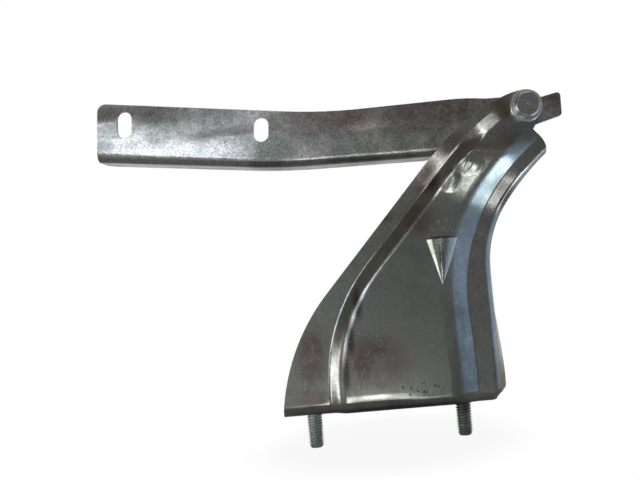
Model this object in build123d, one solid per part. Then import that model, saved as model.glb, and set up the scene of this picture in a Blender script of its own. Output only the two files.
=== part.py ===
from build123d import *
from math import cos, radians, sin, sqrt
import os

# Hood hinge: a pressed steel bracket stands on two studs and carries a folded hood arm on a riveted
# pivot. X runs to the right, Y runs back through the sheet, Z up. The origin is on the seat, midway
# between the studs. All sizes are in millimetres.

# Bracket sheet and its levels
sheet = 2.2                 # thickness of the pressed sheet
setback = 14.0              # from the stud line forward to the face of the side strips
panel_rise = 4.0            # the middle panel stands this far in front of the strips
neck_rise = 6.5             # the neck steps forward this much above the shoulder
boss_rise = 1.2             # the pivot boss stands this far in front of the strips
spot = 0.12                 # the rivet's seats are spot-faced this deep on both sides
seat_margin = 0.4           # and this much wider than their washers
panel_run = 5.4             # width of the panel's left wall, seen from the front
panel_run_right = 10.6      # width of its right wall
neck_run_right = 7.5        # which narrows above the tongue to this, on the neck
boss_run = 7.0              # width of the boss's gentle left wall
spare = 6.0                 # stock that is cut away again

# Bend radii on the outside of the sheet
base_bend = 6.0
flange_bend = 3.8
crest_bend = 8.0
crest_bend_right = 18.0
foot_bend = 2.4
boss_bend = 14.0            # both bends of the boss's left wall

# Pivot
pivot_x = 78.6
pivot_z = 143.2
boss_r = 8.4                # rounded top of the bracket, about the pivot
crown_from = 98.0           # it is round from this angle, up from the right
crown_to = -30.0            # to this one
shank_r = 3.5
fit = 0.05                  # clearance round a shank
play = 0.08                 # side play between the arm and what holds it
head_r = 6.2
head_t = 3.9
head_edge = 0.8
mark_r = 0.5                # centre mark in the head, as deep as its radius
washer_r = 7.8
washer_t = 1.5
washer_edge = 0.25          # broken corners of the washers
spacer_r = 7.2
spacer_t = 2.8
tail_washer_r = 7.2
tail_washer_t = 1.5
tail_r = 5.2
tail_t = 2.2
tail_edge = 0.8             # the peened edge is this high
tail_slope = 1.3            # and slopes in by this
bush_r = 4.6

# Base and studs
stud_spacing = 76.4
stud_r = 3.97               # five sixteenths of an inch over the thread
stud_length = 18.0
stud_shoulder_r = 4.6       # clinched through the base, flush with the seat
stud_head_r = 6.5
stud_head_t = 2.5
stud_edge = 0.4
stud_tip = 1.0              # chamfer at the tip
base_left = 52.2            # stud midpoint to the left end of the base
base_right = 54.5           # stud midpoint to the right end of the base
base_back = 12.0            # the base flange runs this far behind the stud line
base_corner = 5.0
flange_back = 4.0           # the right flange runs this far behind the stud line
flange_shoulder = 83.0      # from this height up its back edge slants forward
flange_neck = 14.0          # to this width on the neck
flange_corner_r = 7.0
flange_foot = 4.0           # and stops this far above the seat
flange_lean = 5.6           # the flange leans out this much at its foot
foot_z = 12.0               # the pressing is straight up to this height

# Left edge: a bow from the base, a straight, and the neck's bend up to the crown
edge_lean = 0.09            # the bow starts with this much across to one up
edge_bow_x = 26.0           # the bow ends this far left of the studs' middle
edge_bow_z = 60.0
edge_neck_x = 51.6          # the straight ends this far left of the pivot
edge_neck_z = 24.3          # and this far below it
edge_top_x = 12.4
edge_top_z = 5.1

# Foot of the panel's left wall
foot_left = 28.0
foot_bow_x = 5.2
foot_bow_z = 72.2
foot_neck_x = 32.8
foot_neck_z = 14.5
foot_top_x = 19.3
foot_top_z = 2.6

# Foot of its right wall
foot_right = 45.4
toe_x = 44.0
toe_z = 42.0
right_waist_x = 20.4
right_waist_z = 42.6
right_top_x = 0.2
right_top_z = 20.0

# Bend of the right flange, and the ear at its top
flange_x = 56.4
flange_z = 66.0
flange_waist_x = 12.6
flange_waist_z = 46.2
flange_top_x = 8.9
ear_end_x = 8.7
ear_end_z = 22.7
ear_bow_x = 7.5
ear_bow_z = 17.1
ear_x = 4.5
ear_z = 13.3
notch_x = 2.7
notch_z = 11.3

# Neck: the step forward lies across the neck, skewed to it
ramp_x = 41.8               # middle of the step, left of the pivot
ramp_z = 26.2               # and below it
ramp_run = 34.0
ramp_skew = 25.0
crest = 21.5                # the panel starts to fall to the boss this far below the pivot
crest_drop = 9.0            # and reaches it over this height
crown = 13.0                # the skin goes this far above the pivot before it is trimmed

# Lanced tongue on the panel
tongue_x = 32.8
tongue_z = 82.6
tongue_width = 15.0
tongue_rise = 3.0
tongue_length = 22.4
tongue_drift = 1.2          # its tip lies this far to the left of its mouth
tip_share = 0.02            # radius of its tip, over that of its mouth

# Hood arm, measured from the pivot
arm_sheet = 2.2
arm_reach = 211.3           # pivot back to the free end, at the fold
arm_drop = 9.0              # pivot down to the fold at the free end
arm_height = 28.4           # over the free end
arm_lean = 4.75             # the free end and the slots lean over
arm_depth = 18.0            # depth of the lower flange, over the web
arm_fold = 4.5              # outside radius of the fold
arm_corner = 4.2
arm_neck = 36.6             # the lower flange ends this far from the pivot
neck_drop = 19.7            # pivot down to the fold there
knee = 138.6                # the arm bends down from here
knee_drop = 17.2
knee_turn = 35.0            # over this length
knee_share = 0.78           # this much of the drop from knee to neck is in the bend
flange_taper = 14.0         # the flange narrows over this length
flange_tip = 8.0            # to this depth
flange_corner = 5.0
arm_top = 6.3               # pivot up to the upper edge, at its lowest
top_knee_rise = 2.0         # the edge bends this much higher up
top_knee = 20.0             # and this far nearer the pivot than the knee below
top_turn = 35.0             # over this length
top_neck_rise = 1.0         # and it rises by this to the neck
neck_fall = 18.0            # where it falls again over this length
eye_r = 7.5
eye_from = 125.0            # the eye is round from this angle, up from the right
eye_to = 35.0               # to this one
tab_reach = 18.3            # pivot to the end of the stop tab
tab_top = 6.85              # pivot up to the tab's upper corner
tab_foot = 4.8              # pivot down to its lower corner
tab_corner = 1.7
slot_width = 7.4
slot_length = 13.0
slot_inset = 14.7           # free end to the middle of the outer slot
slot_lift = 2.8             # the slot lies this far above the middle of the web
inner_slot_length = 12.0
slot_pitch = 66.8           # outer slot to inner slot
inner_slot_up = 0.2

# Levels that follow from the sizes above
boss_front = -setback - neck_rise - boss_rise
seat_front = boss_front + spot
seat_back = boss_front + sheet - spot
arm_front = seat_back + spacer_t + play
arm_back = arm_front + arm_sheet
top_z = pivot_z + crown
crest_z = pivot_z - crest


def smooth(share):
    """Ease from 0 to 1 with level ends."""
    share = min(max(share, 0.0), 1.0)
    return share * share * (3 - 2 * share)


# Lines of the bracket seen from the front, drawn flat as X and Z
def left_edge():
    lower = TangentArc((-base_left, 0), (-edge_bow_x, edge_bow_z), tangent=(edge_lean, 1))
    straight = Line(lower @ 1, (pivot_x - edge_neck_x, pivot_z - edge_neck_z))
    top = (pivot_x - edge_top_x, pivot_z + edge_top_z)
    neck = TangentArc(straight @ 1, top, tangent=straight % 1)
    return [lower, straight, neck]


def left_foot():
    low = Line((-foot_left, 0), (-foot_left, foot_z))
    bow = TangentArc(low @ 1, (-foot_bow_x, foot_bow_z), tangent=low % 1)
    straight = Line(bow @ 1, (pivot_x - foot_neck_x, pivot_z - foot_neck_z))
    top = (pivot_x - foot_top_x, pivot_z - foot_top_z)
    return run_on([low, bow, straight, TangentArc(straight @ 1, top, tangent=straight % 1)])


def right_foot():
    low = Line((foot_right, 0), (foot_right, foot_z))
    toe = TangentArc(low @ 1, (toe_x, toe_z), tangent=low % 1)
    middle = (pivot_x - right_waist_x, pivot_z - right_waist_z)
    waist = TangentArc(toe @ 1, middle, tangent=toe % 1)
    top = (pivot_x - right_top_x, pivot_z - right_top_z)
    return run_on([low, toe, waist, TangentArc(waist @ 1, top, tangent=waist % 1)])


def flange_line():
    low = Line((flange_x, 0), (flange_x, flange_z))
    middle = (pivot_x - flange_waist_x, pivot_z - flange_waist_z)
    waist = TangentArc(low @ 1, middle, tangent=low % 1)
    top = (pivot_x + flange_top_x, pivot_z - ear_end_z)
    return run_on([low, waist, TangentArc(waist @ 1, top, tangent=waist % 1)])


def run_on(path):
    """Carry a line on, straight, past the top of the pressing."""
    end, way = path[-1] @ 1, path[-1] % 1
    return path + [Line(end, end + way * ((top_z + spare - end.Y) / way.Y))]


def across(path, z):
    """Where a rising line crosses this height."""
    piece = next((p for p in path if (p @ 1).Y >= z), path[-1])
    low, high = 0.0, 1.0
    for _ in range(30):
        middle = (low + high) / 2
        if (piece @ middle).Y < z:
            low = middle
        else:
            high = middle
    return (piece @ low).X


def strip_level(x, z):
    """Depth of the side strips, which step forward on the neck."""
    skew = radians(ramp_skew)
    along = (x - pivot_x + ramp_x) * sin(skew) + (z - pivot_z + ramp_z) * cos(skew)
    return -setback - neck_rise * smooth(along / ramp_run + 0.5)


waist_share = 0.62          # waist of the pressing, over the pivot's height
LOWER_STEPS = 9             # steps between the skin's sections below the waist
UPPER_STEPS = 14            # and above it
near = 0.5                  # slopes of the skin are taken over this height, up and down
LEFT_EDGE, LEFT_FOOT, RIGHT_FOOT, FLANGE = left_edge(), left_foot(), right_foot(), flange_line()
SKIN_EDGE = run_on(LEFT_EDGE)


def widened(path, z):
    """A width square to the line, over the same width measured level."""
    slope = (across(path, z + near) - across(path, z - near)) / (2 * near)
    return sqrt(1 + slope * slope)


def corners(z):
    """Corners of the pressing's section at this height, from the left edge round to the flange."""
    fall = smooth((z - crest_z) / crest_drop)
    rise = panel_rise + (boss_rise - panel_rise) * fall
    run_left = (panel_run + (boss_run - panel_run) * fall) * widened(LEFT_FOOT, z)
    narrow = smooth((z - tongue_z) / (crest_z - tongue_z))
    run_right = panel_run_right + (neck_run_right - panel_run_right) * narrow
    run_right *= widened(RIGHT_FOOT, z)
    left, right = across(LEFT_FOOT, z), across(RIGHT_FOOT, z)
    side, edge = across(SKIN_EDGE, z) - spare / 2, across(FLANGE, z)
    lean = 1 + (flange_lean - 1) * (1 - smooth(z / (pivot_z / 2)))
    level = strip_level(edge, z)
    depth = setback + flange_back
    return [
        Vector(side, strip_level(side, z), z),
        Vector(left, strip_level(left, z), z),
        Vector(left + run_left, strip_level(left + run_left, z) - rise, z),
        Vector(right - run_right, strip_level(right - run_right, z) - rise, z),
        Vector(right, strip_level(right, z), z),
        Vector(edge, level, z),
        Vector(edge + lean, level + depth, z),
    ]


def section(z, depth):
    """Section of the skin at this height, sunk square to its surface by a depth."""
    here, above = corners(z), corners(z + near)
    walls = []
    for a, b, c in zip(here, here[1:], above):
        normal = (b - a).cross(c - a).normalized()
        normal = normal if normal.Y * (b.X - a.X) - normal.X * (b.Y - a.Y) > 0 else normal * -1
        walls.append((normal, normal.dot(a) + depth))
    ends = [(Vector(1, 0, 0), here[0].X - depth), (Vector(0, 1, 0), base_back + spare + depth)]
    planes = [ends[0]] + walls + [ends[1]]
    points = [meet(one, two, z) for one, two in zip(planes, planes[1:])]
    fall = smooth((z - crest_z) / crest_drop)
    foot, top = [r + (boss_bend - r) * fall for r in (foot_bend, crest_bend)]
    bends = [foot + depth, top - depth, crest_bend_right - depth, foot_bend + depth, flange_bend - depth]
    stretch = [1 / sqrt(1 - normal.Z ** 2) for normal, _ in walls]
    radii = [r * (s + t) / 2 for r, s, t in zip(bends, stretch, stretch[1:])]
    front = FilletPolyline(*points, radius=radii)
    corner = Vector(points[0].X, points[-1].Y, z)
    return make_face(Wire(front.edges() + Polyline(points[-1], corner, points[0]).edges()))


def meet(one, two, z):
    """Point at this height where two upright or leaning planes cross."""
    (n, d), (m, e) = one, two
    d, e = d - n.Z * z, e - m.Z * z
    det = n.X * m.Y - n.Y * m.X
    return Vector((d * m.Y - e * n.Y) / det, (n.X * e - m.X * d) / det, z)


def skin(depth):
    """Solid behind the pressing's face, sunk by a depth, with its bottom edge rounded."""
    waist, top = pivot_z * waist_share, top_z + depth
    heights = [foot_z + (waist - foot_z) * i / LOWER_STEPS for i in range(LOWER_STEPS)]
    heights += [waist + (top - waist) * i / UPPER_STEPS for i in range(UPPER_STEPS + 1)]
    sections = [section(z, depth) for z in heights]
    foot = extrude(sections[0], foot_z - depth, dir=(0, 0, -1))
    side = min(v.X for v in foot.vertices())
    bottom = foot.faces().sort_by(Axis.Z)[0].edges()
    outside = [e for e in bottom if e.center().X > side + 0.1 and e.center().Y < base_back]
    return fillet(outside, base_bend - depth) + loft(sections)


def arc(radius, start, end, centre=(0, 0)):
    """Arc from one angle to another about a centre."""
    angles = (start, (start + end) / 2, end)
    return ThreePointArc(*[Vector(*centre) + Vector(radius).rotate(Axis.Z, angle) for angle in angles])


def face_outline():
    """Front view of the trimmed sheet, open on the right, where the flange carries on."""
    edge = left_edge()
    crown = arc(boss_r, crown_from, crown_to, (pivot_x, pivot_z))
    shoulder = TangentArc(edge[-1] @ 1, crown @ 0, tangent=edge[-1] % 1)
    notch = (pivot_x + notch_x, pivot_z - notch_z)
    ear = (pivot_x + ear_x, pivot_z - ear_z)
    ear_end = (pivot_x + ear_end_x, pivot_z - ear_end_z)
    ear_arc = ThreePointArc(ear, (pivot_x + ear_bow_x, pivot_z - ear_bow_z), ear_end)
    out = pivot_x + base_right
    rest = Polyline(ear_end, (out, pivot_z - ear_end_z - spare / 2), (out, flange_foot),
                    (base_right + flange_foot - sheet, flange_foot), (base_right, sheet),
                    (base_right, -sheet), (-base_left, -sheet), (-base_left, 0))
    neck = Polyline(crown @ 1, notch, ear)
    return make_face(Wire(edge + [shoulder, crown] + neck.edges() + [ear_arc] + rest.edges()))


def tongue(depth):
    """Half cone of the lanced tongue, open at its upper end and run out into the panel below."""
    mouth_r = ((tongue_width / 2) ** 2 + tongue_rise ** 2) / (2 * tongue_rise)
    face = -setback - panel_rise + depth
    tip_r = mouth_r * tip_share
    mouth = Pos(tongue_x, face - tongue_rise + mouth_r, tongue_z) * Circle(mouth_r)
    tip = Pos(tongue_x - tongue_drift, face + tip_r, tongue_z - tongue_length) * Circle(tip_r)
    return loft([tip, mouth])


def bracket():
    reach = (setback + neck_rise + panel_rise + base_back) * 2
    trim = extrude(Plane.XZ * face_outline(), reach, both=True)
    body = ((skin(0) + tongue(0)) & trim) - skin(sheet) - tongue(sheet)
    neck_back = -setback - neck_rise + flange_neck
    behind = Polyline(
        (flange_back, sheet), (flange_back, flange_shoulder), (neck_back, crest_z), (neck_back, top_z * 2),
        (reach, top_z * 2), (reach, sheet), (flange_back, sheet))
    bends = [v for v in make_face(behind).vertices() if sheet * 2 < v.Y < top_z]
    behind = fillet(bends, flange_corner_r)
    body -= Pos(flange_x - flange_corner_r, 0, 0) * extrude(Plane.YZ * behind, reach * 2)
    plan = Pos((base_right - base_left) / 2, base_back - reach / 2) * RectangleRounded(
        base_left + base_right, reach, base_corner)
    around = Pos(0, base_back - base_corner + reach / 2) * Rectangle(reach * 6, reach)
    body -= extrude(around - plan, sheet * 2, both=True)
    axle = Plane((pivot_x, seat_front, pivot_z), z_dir=(0, 1, 0))
    body -= extrude(axle * Circle(washer_r + seat_margin), -sheet)
    body -= extrude(axle.offset(seat_back - seat_front) * Circle(spacer_r + seat_margin), sheet)
    body -= axle * Cylinder(shank_r + fit, sheet * 3)
    for side in (-1, 1):
        body -= Pos(side * stud_spacing / 2, 0, 0) * Cylinder(stud_shoulder_r, sheet * 3)
    return body


ARM_PLANE = Plane((pivot_x, arm_front, pivot_z), x_dir=(1, 0, 0), z_dir=(0, -1, 0))


def arm_fold_line(lift):
    """Outside of the fold from past the free end to past the neck, lifted by a height."""
    rise = (knee_drop - arm_drop) / (arm_reach - knee)
    low = Line((-arm_reach - spare, lift - arm_drop + spare * rise), (-knee, lift - knee_drop))
    bend_end = (knee_turn - knee, lift - knee_drop - (neck_drop - knee_drop) * knee_share)
    bend = TangentArc(low @ 1, bend_end, tangent=low % 1)
    return [low, bend, Line(bend @ 1, (-arm_neck, lift - neck_drop)),
            Line((-arm_neck, lift - neck_drop), (tab_reach + spare, lift - neck_drop))]


def arm_outline():
    """Front view of the arm, from the free end over the eye to the stop tab and back."""
    lean = arm_height * sin(radians(arm_lean)) / cos(radians(arm_lean))
    straight = Line((lean - arm_reach, arm_height - arm_drop), (top_knee - knee, arm_top + top_knee_rise))
    bend = TangentArc(straight @ 1, (top_knee + top_turn - knee, arm_top), tangent=straight % 1)
    neck = Line(bend @ 1, (-arm_neck, arm_top + top_neck_rise))
    fall = TangentArc(neck @ 1, (neck_fall - arm_neck, arm_top), tangent=neck % 1)
    eye = arc(eye_r, eye_from, eye_to)
    rest = Polyline(eye @ 1, (tab_reach, tab_top), (tab_reach, -tab_foot), (-arm_neck, -neck_drop),
                    (-arm_neck, -neck_drop - spare),
                    (-arm_reach - spare * lean / arm_height, -arm_drop - spare), straight @ 0)
    face = make_face(Wire([straight, bend, neck, fall, Line(fall @ 1, eye @ 0), eye] + rest.edges()))
    tab = face.vertices().sort_by(Axis.X)[-2:]
    face = fillet(tab, tab_corner)
    return fillet(face.vertices().sort_by(Axis.X)[1], arm_corner)


def arm_plan():
    """Plan of the arm: the web, and the lower flange behind it."""
    neck = pivot_x - arm_neck
    start, end = pivot_x - arm_reach, pivot_x + tab_reach + spare
    face = make_face(Polyline(
        (start, 0), (start, arm_depth), (neck - flange_taper, arm_depth), (neck, flange_tip),
        (neck, arm_sheet), (end, arm_sheet), (end, 0), (start, 0)))
    behind = face.vertices().sort_by(Axis.Y)[-3:]
    return fillet(behind, flange_corner)


def arm_channel(depth):
    """Solid above the lower flange and behind the web, sunk by a depth, with the fold rounded."""
    lower = arm_fold_line(depth)
    start, end = lower[0] @ 0, lower[-1] @ 1
    roof = arm_height * 2
    rest = Polyline(end, (end.X, roof), (start.X, roof), start)
    block = extrude(ARM_PLANE * make_face(Wire(lower + rest.edges())), -arm_depth - spare)
    block = Pos(0, depth, 0) * block
    front = block.edges().group_by(Axis.Y)[0]
    fold = [e for e in front if e.center().Z < pivot_z - arm_drop and e.length > arm_depth]
    return fillet(fold, arm_fold - depth)


def slot(reach, up, length):
    """Slot through the web, leaning with the free end."""
    shape = Pos(-reach, up) * Rot(0, 0, 90 - arm_lean) * SlotOverall(length, slot_width)
    return extrude(ARM_PLANE * shape, arm_sheet * 2, both=True)


def hood_arm():
    body = arm_channel(0) - arm_channel(arm_sheet)
    body &= extrude(ARM_PLANE * arm_outline(), arm_depth * 2, both=True)
    plan = Pos(0, arm_front, pivot_z) * arm_plan()
    body &= extrude(plan, arm_height * 2, both=True)
    outer = arm_reach - slot_inset
    body -= slot(outer, arm_height / 2 - arm_drop + slot_lift, slot_length)
    body -= slot(outer - slot_pitch, inner_slot_up, inner_slot_length)
    return body - ARM_PLANE * Cylinder(bush_r, arm_sheet * 4)


def turned(points, centre, turn):
    """Round piece from a half profile, each point a radius and a way along the axis."""
    level = Plane(centre, x_dir=(1, 0, 0), z_dir=Vector(1, 0, 0).cross(turn))
    face = level * make_face(Polyline(*points, points[0]))
    return revolve(face, Axis(centre, turn))


def ring(inner, outer, start, end, edge):
    """Flat ring about the pivot from one level to another, its outer corners broken."""
    return turned([
        (inner, start), (outer - edge, start), (outer, start + edge),
        (outer, end - edge), (outer - edge, end), (inner, end),
    ], (pivot_x, 0, pivot_z), Vector(0, 1, 0))


def pivot_pin():
    """Rivet with a flat head in front, a centre mark in it, and a peened tail."""
    under_head = seat_front - washer_t
    front = under_head - head_t
    tail = arm_back + play + tail_washer_t
    end = tail + tail_t
    return turned([
        (0, front + mark_r), (mark_r, front), (head_r - head_edge, front), (head_r, front + head_edge),
        (head_r, under_head), (shank_r, under_head), (shank_r, tail), (tail_r, tail),
        (tail_r, end - tail_edge), (tail_r - tail_slope, end), (0, end),
    ], (pivot_x, 0, pivot_z), Vector(0, 1, 0))


def head_washer():
    return ring(shank_r, washer_r, seat_front - washer_t, seat_front, washer_edge)


def thrust_washer():
    return ring(shank_r, spacer_r, seat_back, seat_back + spacer_t, washer_edge)


def pivot_bush():
    return ring(shank_r + fit, bush_r, arm_front, arm_back, washer_edge)


def tail_washer():
    start = arm_back + play
    return ring(shank_r, tail_washer_r, start, start + tail_washer_t, washer_edge)


def stud(side):
    """Clinch stud, its head on the base, its shoulder through it and its shank below the seat."""
    top = sheet + stud_head_t
    return turned([
        (0, top), (stud_head_r - stud_edge, top), (stud_head_r, top - stud_edge), (stud_head_r, sheet),
        (stud_shoulder_r, sheet), (stud_shoulder_r, 0), (stud_r, 0), (stud_r, stud_tip - stud_length),
        (stud_r - stud_tip, -stud_length), (0, -stud_length),
    ], (side * stud_spacing / 2, 0, 0), Vector(0, 0, 1))


if __name__ == "__main__":
    os.makedirs("parts", exist_ok=True)
    pieces = {
        "bracket": bracket(),
        "hood_arm": hood_arm(),
        "pivot_pin": pivot_pin(),
        "head_washer": head_washer(),
        "thrust_washer": thrust_washer(),
        "pivot_bush": pivot_bush(),
        "tail_washer": tail_washer(),
        "stud_left": stud(-1),
        "stud_right": stud(1),
    }
    for node, piece in pieces.items():
        export_step(piece, f"parts/{node}.step")
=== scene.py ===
import math

import bmesh
import bpy
from mathutils import Matrix, Vector


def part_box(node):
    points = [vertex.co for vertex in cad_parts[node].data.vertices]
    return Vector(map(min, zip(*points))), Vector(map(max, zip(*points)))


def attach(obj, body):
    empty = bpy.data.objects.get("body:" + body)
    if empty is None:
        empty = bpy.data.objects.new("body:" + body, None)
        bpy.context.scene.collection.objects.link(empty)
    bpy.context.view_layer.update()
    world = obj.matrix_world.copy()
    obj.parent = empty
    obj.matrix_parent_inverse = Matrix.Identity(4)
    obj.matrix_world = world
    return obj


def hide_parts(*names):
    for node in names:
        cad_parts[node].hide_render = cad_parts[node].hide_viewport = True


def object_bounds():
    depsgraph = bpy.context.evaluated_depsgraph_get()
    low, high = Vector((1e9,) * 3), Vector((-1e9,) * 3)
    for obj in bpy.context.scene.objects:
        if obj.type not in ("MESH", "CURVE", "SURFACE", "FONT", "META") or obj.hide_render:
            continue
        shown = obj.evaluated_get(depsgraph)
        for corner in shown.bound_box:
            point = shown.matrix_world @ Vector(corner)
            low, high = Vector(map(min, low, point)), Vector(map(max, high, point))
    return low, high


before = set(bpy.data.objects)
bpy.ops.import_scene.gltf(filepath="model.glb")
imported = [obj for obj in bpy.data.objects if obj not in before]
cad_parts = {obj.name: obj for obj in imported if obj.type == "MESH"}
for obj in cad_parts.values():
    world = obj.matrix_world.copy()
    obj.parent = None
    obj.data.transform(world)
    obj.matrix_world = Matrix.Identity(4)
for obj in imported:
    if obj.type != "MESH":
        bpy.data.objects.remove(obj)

bl_info = {
    "name": "Hood hinge",
    "version": (1, 0, 0),
    "blender": (4, 5, 0),
    "location": "View3D > Sidebar > Hood Hinge",
    "description": "Dresses a zinc-plated hood hinge: bracket, folded arm, riveted pivot and threaded studs",
    "category": "Object",
}

CAD_BOX = [list(corner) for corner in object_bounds()]
MM = 0.001

# The studs: the sheet that they are clinched in, the radii of the thread's crest and of the shoulder in the
# sheet, and the rounding of the head's rim
SHEET = 2.2 * MM
CREST = 3.97 * MM
SHOULDER = 4.6 * MM
HEAD_ROUND = 0.5 * MM
# One turn of the thread from root to root, as shares of the pitch: half the root's flat, and the crest's flat
ROOT_FLAT = 0.125
CREST_FLAT = (0.44, 0.56)
# Radius of the rounded tip's end, as a share of the crest's
TIP_END = 0.7

# Where the photographed sheets are marked: x, z, half width and half height, in millimetres
BRACKET_STAINS = (
    (-4, 25, 26, 20), (-36, 9, 12, 9), (2, 96, 14, 5), (40, 128, 18, 8), (22, 93, 12, 13), (28, 112, 9, 14),
    (67.5, 143, 8, 9), (-36, 30, 11, 26))
BRACKET_PITS = ((20, 10, 25, 5.5),)
BRACKET_RUBS = ((-8, 30, 16, 16), (-38, 26, 9, 18), (34, 88, 12, 12))
BRACKET_CREASES = ((39, 111, 7, 7), (48, 117, 9, 5.5))
# Painted shade: dark spots laid on the bracket's colour where shade and dark reflections fall, over the tongue's
# mouth and its middle, along the base bend, at the foot of the left wall, on the boss and at the neck
BRACKET_PAINTED_SHADE = (
    (32.8, 83.3, 8.4, 1.0), (2, 0.8, 66, 3.0), (65, 103, 8, 13), (30, 114, 6, 10), (-19.5, 20, 3.2, 13),
    (-16, 38, 3.2, 13), (-11, 54, 3.5, 11), (31.8, 74.5, 1.8, 9))
ARM_STAINS = ((-14, 147, 34, 15), (34, 146, 52, 15), (92, 146, 8, 8))
ARM_RUBS = ((30, 136, 30, 9), (-120, 150, 22, 14))
# Faint swellings that bend the light on the sheet: their spots, and how far they stand out, in metres
BRACKET_BULGES = (
    (((38.8, 40, 8, 62),), 0.3 * MM),
    (((60.5, 137, 22, 20),), 0.7 * MM),
)
ARM_BULGES = (
    (((-124, 149, 60, 18),), 1.1 * MM),
    (((-60, 139.5, 70, 9), (10, 137, 60, 8)), 0.35 * MM),
)
# The panel's foot, where the sheet rolls back: its spot, the levels where it is sunk in full and no more, in
# millimetres, and how far, in metres
BRACKET_ROLLS = (((-7, 8, 27, 40), -0.6, 9.4, 1.2 * MM),)
# Fine scratches: their direction in degrees, and their length and width in millimetres
SCRATCHES = ((35, 5.0, 0.16), (-28, 6.0, 0.16), (-64, 9.0, 0.16))

# The floor: its size, and how far its middle lies behind the studs, in metres
FLOOR_SIZE = (1.6, 1.0)
FLOOR_BACK = 0.43
# Soft boxes, all at one distance from the middle of the hinge: azimuth from the front toward the right and
# elevation, in degrees, width and height in metres, how bright each looks, and its tint
LAMP_AIM = Vector((0, -0.01, 0.09))
LAMP_DISTANCE = 1.2
LAMPS = (
    ("Lamp left", -70, -10, 0.72, 0.50, 3.0, "#FFFDF8"),
    ("Lamp front left", -23, 3.4, 0.40, 0.42, 2.8, "#F2F7FF"),
    ("Lamp low", -2.3, -25.6, 0.13, 0.36, 6.6, "#FFFBF4"),
    ("Lamp high", -4, 26.5, 0.10, 0.10, 8.0, "#FFFFFF"),
    ("Lamp right", 55, -40, 0.64, 0.38, 3.8, "#DDF0FF"),
    ("Lamp top", 170, 75, 0.90, 0.90, 0.6, "#FFFFFF"),
)
# The camera's place beside the studs' middle and above the seat, and how far its frame, which is 640 pixels
# wide, is shifted to hold the arm and the studs
CAMERA_SIDE, CAMERA_HEIGHT = 1.665 * MM, 72.21 * MM
FRAME_WIDTH, FRAME_SHIFT = 640, (-60, 25)

EASED = {"interpolation_type": "SMOOTHSTEP"}
WHITE = (1, 1, 1, 1)


def linear(code):
    """Linear colour with full alpha from an sRGB hex value."""
    channels = [int(code[i:i + 2], 16) / 255 for i in (1, 3, 5)]
    return [c / 12.92 if c <= 0.04045 else ((c + 0.055) / 1.055) ** 2.4 for c in channels] + [1.0]


def colour(name, description, code):
    """Colour property whose default is an sRGB hex value."""
    return bpy.props.FloatVectorProperty(
        name=name, description=description, default=linear(code), size=4, subtype="COLOR", min=0, max=1)


def length(name, description, default):
    """Length property, in metres."""
    return bpy.props.FloatProperty(
        name=name, description=description, default=default, unit="LENGTH", min=0, precision=5)


class PlatingSettings(bpy.types.PropertyGroup):
    """Colours of the plating, sheet by sheet, and the grain that shows in it."""

    zinc: colour("Zinc", "Clear passivated zinc on the pressed bracket", "#A3A7A6")
    zinc_dull: colour("Dulled zinc", "Where the plating has gone matt and greenish", "#868C88")
    stain: colour("Stain", "Purple-brown bloom left by the bath and by handling", "#7C6F6F")
    arm_zinc: colour("Arm zinc", "Zinc on the folded arm", "#C1C3C4")
    rivet: colour("Rivet steel", "Turned and plated rivet", "#B0B1B5")
    washer: colour("Washer zinc", "Bright zinc on the collar and the washers", "#DFE3E3")
    stud: colour("Stud zinc", "Bright blue-green zinc on the studs", "#E2ECEA")
    bush: colour("Bush bronze", "Sintered bronze, oiled", "#8F6A3C")
    # The dark colour is the pin holes' own colour and that of the darker cut edges, and also the colour of
    # painted shade: the shade spots, the thread's roots and the faces under the arm's fold
    spot: colour("Dark", "Pin holes in the plating, grime, and the roots of the threads", "#2B2A2A")
    # Lighter colour on the scratches: bare zinc, and also a painted glint where the scratches catch the light
    rub_and_glint: colour("Rub", "Bright bare zinc where something rubbed the sheet", "#D8D8D4")
    grain: length("Grain", "Width of the sheet's matt grain, drawn coarse enough to show", 0.9 * MM)
    patch: length("Patch", "Width of the cloudy patches", 24 * MM)
    pit_spacing: length("Pin hole spacing", "Distance from one place for a pin hole to the next", 1.8 * MM)


class StudSettings(bpy.types.PropertyGroup):
    """Sizes of the threaded studs."""

    pitch: length("Pitch", "From one turn of the thread to the next, 18 turns to the inch", 25.4 / 18 * MM)
    depth: length("Depth", "Height of the thread", 0.72 * MM)
    tip: length("Tip", "Length of the rounded tip", 2.2 * MM)
    steps: bpy.props.IntProperty(name="Steps", description="Steps in one turn", default=36, min=8, max=96)


class StageSettings(bpy.types.PropertyGroup):
    """Floor, lamps and camera."""

    floor: colour("Floor", "Plain white sheet under the hinge", "#F4F4F2")
    room: colour("Room", "What the metal sees of the room in front of it", "#787774")
    room_left: colour("Room, left", "Paler wall on the left", "#9A978F")
    room_dark: colour("Room, far left", "Dark brown shelf beyond it, and the ceiling", "#6E665D")
    room_right: colour("Room, right", "Cool daylight wall on the right", "#B5CBE9")
    distance: length("Camera distance", "From the row of studs to the camera", 400 * MM)
    lens: bpy.props.FloatProperty(
        name="Lens", description="Focal length on a 36 mm sensor", default=43.86, unit="CAMERA", min=1)
    roll: bpy.props.FloatProperty(
        name="Roll", description="How far the camera is turned clockwise", default=math.radians(4.75),
        subtype="ANGLE")


def put(tree, kind, inputs=(), **settings):
    """Add a shader node with its settings. Its inputs come by name, or in the node's own order, and each is a
    value, a socket to link, or a node, whose first output in use is linked."""
    node = tree.nodes.new("ShaderNode" + kind)
    node.location = (len(tree.nodes) * 190, 0)
    for name, value in settings.items():
        setattr(node, name, value)
    for key, value in inputs.items() if isinstance(inputs, dict) else enumerate(inputs):
        if isinstance(value, bpy.types.Node):
            value = next(socket for socket in value.outputs if socket.enabled)
        if isinstance(value, bpy.types.NodeSocket):
            tree.links.new(value, node.inputs[key])
        else:
            node.inputs[key].default_value = value
    return node


def clean_material(name):
    """Empty node material, and its tree."""
    material = bpy.data.materials.new(name)
    material.use_nodes = True
    material.node_tree.nodes.clear()
    return material, material.node_tree


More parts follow.
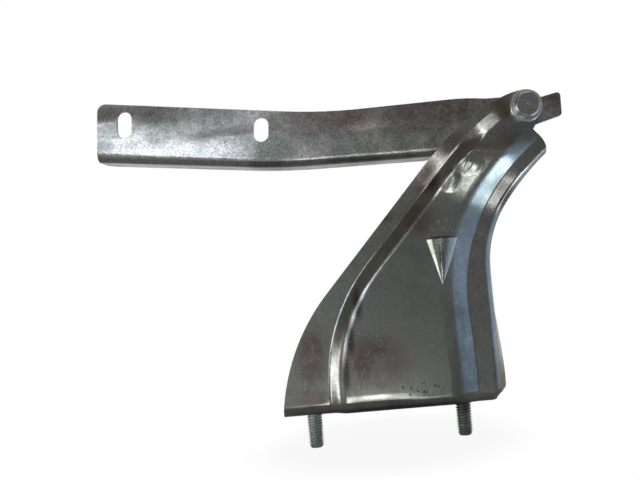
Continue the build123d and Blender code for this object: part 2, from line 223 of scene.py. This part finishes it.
def near(tree, place, spots):
    """1 at the middle of any of these spots and 0 outside them: x, z, half width and half height in mm."""
    total = 0.0
    for x, z, wide, high in spots:
        moved = put(tree, "VectorMath", (place, (x * MM, 0.0, z * MM)), operation="SUBTRACT")
        sized = put(tree, "VectorMath", (moved, (1 / (wide * MM), 0.0, 1 / (high * MM))), operation="MULTIPLY")
        away = put(tree, "VectorMath", (sized,), operation="LENGTH")
        spot = put(tree, "MapRange", (away, 1.0, 0.2), **EASED)
        total = put(tree, "Math", (total, spot), operation="MAXIMUM")
    return total


def pin_holes(tree, place, grains, dirty, spacing):
    """1 in the pin holes. They are rare and small, but wide and close together where it is dirty, and the
    sheet's grain makes their rims ragged."""
    ragged = put(tree, "VectorMath", (grains.outputs["Color"], (2 * MM,) * 3, place), operation="MULTIPLY_ADD")
    pits = put(tree, "TexVoronoi", {"Vector": ragged, "Scale": 1 / spacing})
    width = put(tree, "MapRange", (dirty, 0.0, 1.0, 0.13, 0.36), **EASED)
    hole = put(tree, "Math", (pits.outputs["Distance"], width), operation="LESS_THAN")
    chance = put(tree, "SeparateColor", {"Color": pits.outputs["Color"]}).outputs["Red"]
    chance = put(tree, "Math", (dirty, 0.55, chance), operation="MULTIPLY_ADD")
    picked = put(tree, "MapRange", (chance, 0.96, 0.98), **EASED)
    return put(tree, "Math", (hole, picked), operation="MULTIPLY")


def scratches(tree, place, flecks, cloud):
    """1 on the fine scratches, which lie in the places that were rubbed and a few more."""
    rubs = 0.0
    for turn, long, thin in SCRATCHES:
        along = put(tree, "Mapping", {
            "Vector": place, "Rotation": (0.0, math.radians(turn), 0.0),
            "Scale": (long * MM, long * MM, thin * MM)}, vector_type="TEXTURE")
        marks = put(tree, "TexNoise", {"Vector": along, "Scale": 1.0, "Detail": 1.0})
        few = put(tree, "MapRange", (marks, 0.745, 0.775), **EASED)
        rubs = put(tree, "Math", (rubs, few), operation="MAXIMUM")
    elsewhere = put(tree, "MapRange", (cloud, 0.6, 0.7, 0.0, 0.5), **EASED)
    busy = put(tree, "Math", (near(tree, place, flecks), elsewhere), operation="MAXIMUM")
    return put(tree, "Math", (rubs, busy), operation="MULTIPLY")


def pressed_relief(tree, place, grain, grainy, bulges, rolled, creased, worn):
    """Relief of a pressed sheet: its grain, slow waves, faint swellings, a foot that rolls back, folds where the
    die drew the sheet sideways, and shallow holes and scratches."""
    waves = put(tree, "TexNoise", {"Vector": place, "Scale": 1 / (14 * MM), "Detail": 1.0})
    layers = [(grain, 0.03 * MM, grainy, False), (waves, 0.16 * MM, 0.6, False)]
    for spots, rise in bulges:
        swell = near(tree, place, spots)
        layers.append((put(tree, "Math", (swell, swell), operation="MULTIPLY"), rise, 1.0, False))
    for spot, start, end, rise in rolled:
        level = put(tree, "SeparateXYZ", {"Vector": place}).outputs["Z"]
        below = put(tree, "MapRange", (level, start * MM, end * MM, 1.0, 0.0), **EASED)
        sunk = put(tree, "Math", (below, near(tree, place, (spot,))), operation="MULTIPLY")
        layers.append((sunk, rise, 1.0, True))
    if creased:
        folds = put(tree, "Mapping", {
            "Vector": place, "Rotation": (0.0, math.radians(-56), 0.0),
            "Scale": (30 * MM, 30 * MM, 5 * MM)}, vector_type="TEXTURE")
        folds = put(tree, "TexNoise", {"Vector": folds, "Scale": 1.0, "Detail": 2.0})
        folds = put(tree, "Math", (folds, near(tree, place, creased)), operation="MULTIPLY")
        layers.append((folds, 1.0 * MM, 1.0, False))
    layers.append((worn, 0.05 * MM, 0.5, True))
    under = {}
    for height, rise, strength, inward in layers:
        relief = put(tree, "Bump", {"Height": height, "Distance": rise, "Strength": strength, **under},
                     invert=inward)
        under = {"Normal": relief}
    return relief


def plated_sheet(name, base, dull, stain, roughness, settings, stains=(), pitted=(), painted_shade_spots=(), flecks=(),
                 bulges=(), rolled=(), creased=(), sheared_edges_and_shade_below=False, root_shaded=False, grainy=0.5, stain_share=0.3):
    """Cold-rolled sheet, pressed and zinc plated. The eye sees a fine matt grain with faint colours in it,
    cloudy patches where the plating is dull and greenish, purple-brown bloom from the bath and the hand, pin
    holes where dirt lay under the plating, painted shade in dark spots where shade falls, and fine scratches
    from the bin, painted lighter as bare zinc and as a painted glint. Cut edges look darker, and painted shade
    darkens the roots of a thread and the faces turned down under the arm's fold."""
    material, tree = clean_material(name)
    place = put(tree, "TexCoord").outputs["Object"]
    patch = put(tree, "TexNoise", {
        "Vector": place, "Scale": 1 / settings.patch, "Detail": 5.0, "Roughness": 0.6})
    cloud = put(tree, "TexNoise", {
        "Vector": place, "Scale": 2.6 / settings.patch, "Detail": 4.0, "Roughness": 0.7, "Distortion": 0.8})
    grains = put(tree, "TexNoise", {
        "Vector": place, "Scale": 1 / settings.grain, "Detail": 3.0, "Roughness": 0.6})
    hole = pin_holes(tree, place, grains, near(tree, place, pitted), settings.pit_spacing)
    rubs = scratches(tree, place, flecks, cloud)
    worn = put(tree, "Math", (rubs, hole), operation="MAXIMUM")

    # Colours laid over one another, each by its share
    bloom = put(tree, "MapRange", (cloud, 0.5, 0.74, 0.0, stain_share), **EASED)
    mottle = put(tree, "MapRange", (cloud, 0.25, 0.7, 0.4, 1.0), **EASED)
    stained = put(tree, "Math", (near(tree, place, stains), mottle), operation="MULTIPLY")
    layers = [
        (put(tree, "MapRange", (patch, 0.38, 0.66), **EASED), dull),
        (put(tree, "Math", (bloom, stained), operation="MAXIMUM"), stain),
        (put(tree, "Math", (hole, 0.7), operation="MULTIPLY"), settings.spot),
        # Painted shade: the dark colour laid over the painted shade spots
        (put(tree, "Math", (near(tree, place, painted_shade_spots), 0.7), operation="MULTIPLY"), settings.spot),
    ]
    # Painted shade in the thread's roots, darker towards the root
    if root_shaded:
        groove = put(tree, "Attribute", attribute_name="groove").outputs["Fac"]
        layers.append((put(tree, "MapRange", (groove, 0.3, 1.0, 0.0, 0.35), **EASED), settings.spot))
    # Darker cut edges of the arm, as rough cut steel, and painted shade on the faces turned down under its fold
    if sheared_edges_and_shade_below:
        facing = put(tree, "SeparateXYZ", {"Vector": put(tree, "TexCoord").outputs["Normal"]})
        side = put(tree, "Math", (facing.outputs["X"],), operation="ABSOLUTE")
        edge = put(tree, "MapRange", (side, 0.25, 0.8, 0.0, 0.85), **EASED)
        shade_under_fold = put(tree, "MapRange", (facing.outputs["Z"], -0.3, -0.5, 0.0, 0.4), **EASED)
        layers.append((put(tree, "Math", (edge, shade_under_fold), operation="MAXIMUM"), settings.spot))
    # Scratches painted lighter: partly bare zinc, partly a painted glint
    layers.append((rubs, settings.rub_and_glint))
    shade = base
    for share, above in layers:
        shade = put(tree, "Mix", {"Factor": share, "A": shade, "B": above}, data_type="RGBA")

    # The grain's own faint colours and specks
    hue = put(tree, "VectorMath", (
        grains.outputs["Color"], (grainy * 0.5,) * 3, (1 - grainy * 0.25,) * 3), operation="MULTIPLY_ADD")
    shade = put(tree, "VectorMath", (shade, hue), operation="MULTIPLY")
    speck = put(tree, "MapRange", (grains, 0.3, 0.7, 1 - grainy * 0.3, 1 + grainy * 0.3))
    tone = put(tree, "VectorMath", {0: shade, "Scale": speck}, operation="SCALE")
    sheen = put(tree, "MapRange", (patch, 0.3, 0.7, roughness - 0.04, roughness + 0.05), **EASED)
    metal = put(tree, "BsdfPrincipled", {
        "Base Color": tone, "Metallic": 1.0,
        "Roughness": put(tree, "Math", (worn, 0.25, sheen), operation="MULTIPLY_ADD"),
        "Normal": pressed_relief(tree, place, grains, grainy, bulges, rolled, creased, worn)})
    put(tree, "OutputMaterial", {"Surface": metal})
    return material


def turned_metal(name, base, roughness, centre, spacing, settings):
    """Turned metal, plated or bare. The eye sees rings from the tool round the pivot's axis, soft bright rims
    and a light bloom."""
    material, tree = clean_material(name)
    place = put(tree, "TexCoord").outputs["Object"]
    centred = put(tree, "Mapping", {"Vector": place, "Location": -Vector(centre)})
    rings = put(tree, "TexWave", {
        "Vector": centred, "Scale": 1 / (spacing * 20), "Distortion": 0.6, "Detail": 2.0},
        wave_type="RINGS", rings_direction="Y")
    cloud = put(tree, "TexNoise", {
        "Vector": place, "Scale": 8 / settings.patch, "Detail": 5.0, "Roughness": 0.7})
    bloom = put(tree, "MapRange", (cloud, 0.3, 0.7, 0.72, 1.08))
    shade = put(tree, "VectorMath", {0: base[:3], "Scale": bloom}, operation="SCALE")
    sheen = put(tree, "MapRange", (cloud, 0.0, 1.0, roughness - 0.06, roughness + 0.08))
    rim = put(tree, "Bevel", {"Radius": 0.5 * MM}, samples=8)
    relief = put(tree, "Bump", {
        "Height": rings.outputs["Fac"], "Distance": 0.01 * MM, "Strength": 0.3, "Normal": rim})
    metal = put(tree, "BsdfPrincipled", {
        "Base Color": shade, "Metallic": 1.0, "Roughness": sheen, "Normal": relief})
    put(tree, "OutputMaterial", {"Surface": metal})
    return material


def finish_node(node, material):
    """Give a CAD node its material."""
    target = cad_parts[node]
    target.data.materials.clear()
    target.data.materials.append(material)


def middle(node):
    """Centre of a CAD node's box, in metres."""
    low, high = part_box(node)
    return (Vector(low) + Vector(high)) / 2


class HINGE_OT_bracket(bpy.types.Operator):
    """Finish the pressed bracket"""

    bl_idname = "hinge.bracket"
    bl_label = "Pressed bracket"

    def execute(self, context):
        plating = context.scene.hinge_plating
        finish_node("bracket", plated_sheet(
            "Zinc-plated pressed steel", plating.zinc, plating.zinc_dull, plating.stain, 0.21, plating,
            stains=BRACKET_STAINS, pitted=BRACKET_PITS, painted_shade_spots=BRACKET_PAINTED_SHADE, flecks=BRACKET_RUBS,
            bulges=BRACKET_BULGES, rolled=BRACKET_ROLLS, creased=BRACKET_CREASES))
        return {"FINISHED"}


class HINGE_OT_arm(bpy.types.Operator):
    """Finish the folded arm and the bush in its eye"""

    bl_idname = "hinge.arm"
    bl_label = "Folded arm"

    def execute(self, context):
        plating = context.scene.hinge_plating
        finish_node("hood_arm", plated_sheet(
            "Zinc-plated folded steel", plating.arm_zinc, plating.zinc_dull, plating.stain, 0.29, plating,
            stains=ARM_STAINS, flecks=ARM_RUBS, bulges=ARM_BULGES, sheared_edges_and_shade_below=True, grainy=1.2))
        # Oiled and porous: brown, and nearly matt
        finish_node("pivot_bush", turned_metal(
            "Sintered bronze", plating.bush, 0.45, middle("pivot_bush"), 0.3 * MM, plating))
        return {"FINISHED"}


class HINGE_OT_rivet(bpy.types.Operator):
    """Finish the rivet and the washers round it"""

    bl_idname = "hinge.rivet"
    bl_label = "Rivet and washers"

    def execute(self, context):
        plating = context.scene.hinge_plating
        pivot = middle("pivot_pin")
        # Grey with a satin shine
        finish_node("pivot_pin", turned_metal(
            "Turned rivet steel", plating.rivet, 0.28, pivot, 0.25 * MM, plating))
        # Nearly white, and the brightest metal of the hinge
        washer = turned_metal("Bright zinc-plated washer", plating.washer, 0.24, pivot, 0.3 * MM, plating)
        for node in ("head_washer", "thrust_washer", "tail_washer"):
            finish_node(node, washer)
        return {"FINISHED"}


def solid(mesh, name, angle=35):
    """Object from a bmesh, shaded smooth up to an angle."""
    data = bpy.data.meshes.new(name)
    mesh.to_mesh(data)
    mesh.free()
    data.shade_smooth()
    data.set_sharp_from_angle(angle=math.radians(angle))
    piece = bpy.data.objects.new(name, data)
    bpy.context.collection.objects.link(piece)
    return piece


def threaded_stud(node, thread):
    """Stud with a rolled thread from its tip up to the seat. Its groove attribute is 1 at the thread's root."""
    low, high = (Vector(corner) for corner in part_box(node))
    centre = (low + high) / 2
    root = CREST - thread.depth
    pitch, steps = thread.pitch, thread.steps
    turns = math.ceil(-low.z / pitch) + 2
    mesh = bmesh.new()
    bottom = low.z - pitch
    profile = [(root, 0.0), (root, ROOT_FLAT), (CREST, CREST_FLAT[0]), (CREST, CREST_FLAT[1]),
               (root, 1 - ROOT_FLAT), (root, 1.0)]
    verts = [mesh.verts.new((r, 0, bottom + pitch * share)) for r, share in profile]
    edges = [mesh.edges.new(pair) for pair in zip(verts, verts[1:])]
    bmesh.ops.spin(mesh, geom=verts + edges, cent=(0, 0, 0), axis=(0, 0, 1), dvec=(0, 0, pitch / steps),
                   angle=math.tau * turns, steps=steps * turns, use_merge=False, use_duplicate=False)
    bmesh.ops.remove_doubles(mesh, verts=mesh.verts, dist=0.02 * MM)
    for level, way in ((low.z, 1), (0.0, -1)):
        cut = bmesh.ops.bisect_plane(
            mesh, geom=mesh.verts[:] + mesh.edges[:] + mesh.faces[:], plane_co=(0, 0, level),
            plane_no=(0, 0, way), clear_inner=True)
        rim = [e for e in cut["geom_cut"] if isinstance(e, bmesh.types.BMEdge)]
        bmesh.ops.edgeloop_fill(mesh, edges=rim)
    for vert in mesh.verts:
        reach = math.hypot(vert.co.x, vert.co.y)
        share = min(max((vert.co.z - low.z) / thread.tip, 0.0), 1.0)
        limit = CREST * (TIP_END + (1 - TIP_END) * math.sin(share * math.pi / 2))
        if reach > limit:
            vert.co.xy *= limit / reach
    bmesh.ops.recalc_face_normals(mesh, faces=mesh.faces)
    groove = mesh.verts.layers.float.new("groove")
    for vert in mesh.verts:
        vert[groove] = min(max((CREST - math.hypot(vert.co.x, vert.co.y)) / thread.depth, 0.0), 1.0)
    bmesh.ops.translate(mesh, verts=mesh.verts, vec=(centre.x, centre.y, 0))
    return solid(mesh, node + "_thread")


def stud_head(node):
    """The stud's flat head on the base, and its shoulder through it."""
    low, high = (Vector(corner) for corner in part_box(node))
    centre = (low + high) / 2
    radius = (high.x - low.x) / 2
    mesh = bmesh.new()
    # A hair above the seat, so that its face and the thread's end don't share a level
    made = bmesh.ops.create_circle(mesh, cap_ends=True, segments=64, radius=SHOULDER)
    bmesh.ops.translate(mesh, verts=made["verts"], vec=(0, 0, 0.002 * MM))
    top = bmesh.ops.extrude_face_region(mesh, geom=mesh.faces[:])["geom"]
    top = [v for v in top if isinstance(v, bmesh.types.BMVert)]
    bmesh.ops.translate(mesh, verts=top, vec=(0, 0, SHEET))
    bmesh.ops.recalc_face_normals(mesh, faces=mesh.faces)
    made = bmesh.ops.create_cone(mesh, cap_ends=True, segments=64, radius1=radius, radius2=radius,
                                 depth=high.z - SHEET)
    bmesh.ops.translate(mesh, verts=made["verts"], vec=(0, 0, (high.z + SHEET) / 2))
    rim = [e for e in mesh.edges if all(v.co.z > high.z - 0.01 * MM for v in e.verts)]
    bmesh.ops.bevel(mesh, geom=rim, offset=HEAD_ROUND, segments=3, profile=0.5, affect="EDGES", material=-1)
    bmesh.ops.translate(mesh, verts=mesh.verts, vec=(centre.x, centre.y, 0))
    return solid(mesh, node + "_head")


class HINGE_OT_studs(bpy.types.Operator):
    """Cut the threads of the two studs"""

    bl_idname = "hinge.studs"
    bl_label = "Threaded studs"

    def execute(self, context):
        plating = context.scene.hinge_plating
        material = plated_sheet("Bright zinc-plated stud", plating.stud, plating.zinc_dull, plating.stain, 0.34,
                                plating, root_shaded=True, stain_share=0.1)
        for node in ("stud_left", "stud_right"):
            stud = threaded_stud(node, context.scene.hinge_thread)
            stud.data.materials.append(material)
            head = stud_head(node)
            head.data.materials.append(material)
            for piece in (stud, head):
                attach(piece, "bracket")
            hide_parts(node)
        return {"FINISHED"}


def lamp(name, azimuth, elevation, width, height, radiance, tint):
    """Soft lamp that looks at the hinge, as bright as it is said to look."""
    data = bpy.data.lights.new(name, "AREA")
    data.shape = "RECTANGLE"
    data.size, data.size_y = width, height
    data.energy = radiance * math.pi * width * height
    data.color = linear(tint)[:3]
    holder = bpy.data.objects.new(name, data)
    turn, rise = math.radians(azimuth), math.radians(elevation)
    away = Vector((math.sin(turn) * math.cos(rise), -math.cos(turn) * math.cos(rise), math.sin(rise)))
    holder.location = LAMP_AIM + away * LAMP_DISTANCE
    holder.rotation_euler = away.to_track_quat("Z", "Y").to_euler()
    bpy.context.collection.objects.link(holder)


def seen(tree, camera_share, mirror_share):
    """Share of white that the eye sees, and the share that metal and glass show."""
    path = put(tree, "LightPath")
    eye = put(tree, "Math", (path.outputs["Is Camera Ray"], camera_share), operation="MULTIPLY")
    mirror = put(tree, "Math", (
        path.outputs["Is Glossy Ray"], path.outputs["Is Transmission Ray"]), operation="MAXIMUM")
    mirror = put(tree, "Math", (mirror, mirror_share), operation="MULTIPLY")
    return put(tree, "Math", (eye, mirror), operation="MAXIMUM")


def white_floor(stage):
    """Matt white paper that keeps the hinge's shadow and runs out into white round it. Behind the hinge, and
    beside it on the right, the metal shows it white."""
    material, tree = clean_material("Matt white paper")
    place = put(tree, "TexCoord").outputs["Object"]
    where = put(tree, "SeparateXYZ", {"Vector": place})
    behind = put(tree, "MapRange", (where.outputs["Y"], 0.1, 0.4, 0.0, 0.4), **EASED)
    right = put(tree, "MapRange", (where.outputs["X"], 0.12, 0.3, 0.0, 0.8), **EASED)
    front = put(tree, "MapRange", (where.outputs["Y"], 0.2, 0.05), **EASED)
    beside = put(tree, "Math", (right, front), operation="MULTIPLY")
    mirrored = put(tree, "Math", (behind, beside), operation="MAXIMUM")
    away = put(tree, "VectorMath", (place,), operation="LENGTH")
    bright = put(tree, "MapRange", (away, 0.05, 0.085, 0.92, 1.0), **EASED)
    fibres = put(tree, "TexNoise", {"Vector": place, "Scale": 1 / (1.5 * MM), "Detail": 3.0})
    relief = put(tree, "Bump", {"Height": fibres, "Distance": 0.02 * MM, "Strength": 0.1})
    paper = put(tree, "BsdfDiffuse", {"Color": stage.floor, "Normal": relief})
    glow = put(tree, "Emission", {"Color": WHITE, "Strength": 1.0})
    mixed = put(tree, "MixShader", (seen(tree, bright, mirrored), paper, glow))
    put(tree, "OutputMaterial", {"Surface": mixed})
    return material


def world_surround(stage):
    """White surround for the eye and for what lies behind the hinge, and a dim room for the rest."""
    world = bpy.data.worlds.new("Studio")
    bpy.context.scene.world = world
    world.use_nodes = True
    tree = world.node_tree
    tree.nodes.clear()
    way = put(tree, "SeparateXYZ", {"Vector": put(tree, "TexCoord").outputs["Generated"]})
    room = stage.room
    for axis, start, end, wall in (
            ("X", -0.15, -0.45, stage.room_left), ("X", -0.55, -0.9, stage.room_dark),
            ("X", 0.45, 0.9, stage.room_right), ("Z", 0.22, 0.42, stage.room_dark)):
        share = put(tree, "MapRange", (way.outputs[axis], start, end), **EASED)
        room = put(tree, "Mix", {"Factor": share, "A": room, "B": wall}, data_type="RGBA")
    behind = put(tree, "MapRange", (way.outputs["Y"], 0.25, 0.6), **EASED)
    shade = put(tree, "Mix", {"Factor": seen(tree, 1.0, behind), "A": room, "B": WHITE}, data_type="RGBA")
    sky = put(tree, "Background", {"Color": shade, "Strength": 1.0})
    put(tree, "OutputWorld", {"Surface": sky})


def camera(scene, stage):
    """Camera square on to the sheet, turned a little, as the photograph shows it."""
    data = bpy.data.cameras.new("Camera")
    data.lens = stage.lens
    data.shift_x, data.shift_y = (shift / FRAME_WIDTH for shift in FRAME_SHIFT)
    holder = bpy.data.objects.new("Camera", data)
    cos, sin = math.cos(stage.roll), math.sin(stage.roll)
    turn = Matrix(((cos, sin, 0), (0, 0, -1), (-sin, cos, 0))).to_4x4()
    holder.matrix_world = Matrix.Translation((CAMERA_SIDE, -stage.distance, CAMERA_HEIGHT)) @ turn
    scene.collection.objects.link(holder)
    scene.camera = holder


class HINGE_OT_stage(bpy.types.Operator):
    """Set the floor, the lamps, the white surround and the camera"""

    bl_idname = "hinge.stage"
    bl_label = "Floor, lamps and camera"

    def execute(self, context):
        scene, stage = context.scene, context.scene.hinge_stage
        mesh = bmesh.new()
        made = bmesh.ops.create_grid(mesh, x_segments=1, y_segments=1, size=0.5)
        bmesh.ops.scale(mesh, verts=made["verts"], vec=(*FLOOR_SIZE, 1.0))
        bmesh.ops.translate(mesh, verts=made["verts"], vec=(0, FLOOR_BACK, CAD_BOX[0][2]))
        floor = solid(mesh, "floor")
        floor.data.materials.append(white_floor(stage))
        world_surround(stage)
        for row in LAMPS:
            lamp(*row)
        camera(scene, stage)
        scene.view_settings.view_transform = "Standard"
        return {"FINISHED"}


class HINGE_PT_panel(bpy.types.Panel):
    """Hood hinge tools"""

    bl_idname = "HINGE_PT_panel"
    bl_label = "Hood Hinge"
    bl_space_type = "VIEW_3D"
    bl_region_type = "UI"
    bl_category = "Hood Hinge"

    def draw(self, context):
        for operator in OPERATORS:
            self.layout.operator(operator.bl_idname)
        for group in (context.scene.hinge_plating, context.scene.hinge_thread, context.scene.hinge_stage):
            box = self.layout.box()
            for name in group.__annotations__:
                box.prop(group, name)


OPERATORS = (HINGE_OT_bracket, HINGE_OT_arm, HINGE_OT_rivet, HINGE_OT_studs, HINGE_OT_stage)
CLASSES = (PlatingSettings, StudSettings, StageSettings) + OPERATORS + (HINGE_PT_panel,)


def register():
    for cls in CLASSES:
        bpy.utils.register_class(cls)
    bpy.types.Scene.hinge_plating = bpy.props.PointerProperty(type=PlatingSettings)
    bpy.types.Scene.hinge_thread = bpy.props.PointerProperty(type=StudSettings)
    bpy.types.Scene.hinge_stage = bpy.props.PointerProperty(type=StageSettings)


def unregister():
    del bpy.types.Scene.hinge_stage
    del bpy.types.Scene.hinge_thread
    del bpy.types.Scene.hinge_plating
    for cls in reversed(CLASSES):
        bpy.utils.unregister_class(cls)


def main():
    register()
    bpy.ops.hinge.bracket()
    bpy.ops.hinge.arm()
    bpy.ops.hinge.rivet()
    bpy.ops.hinge.studs()
    bpy.ops.hinge.stage()


if __name__ == "__main__":
    main()
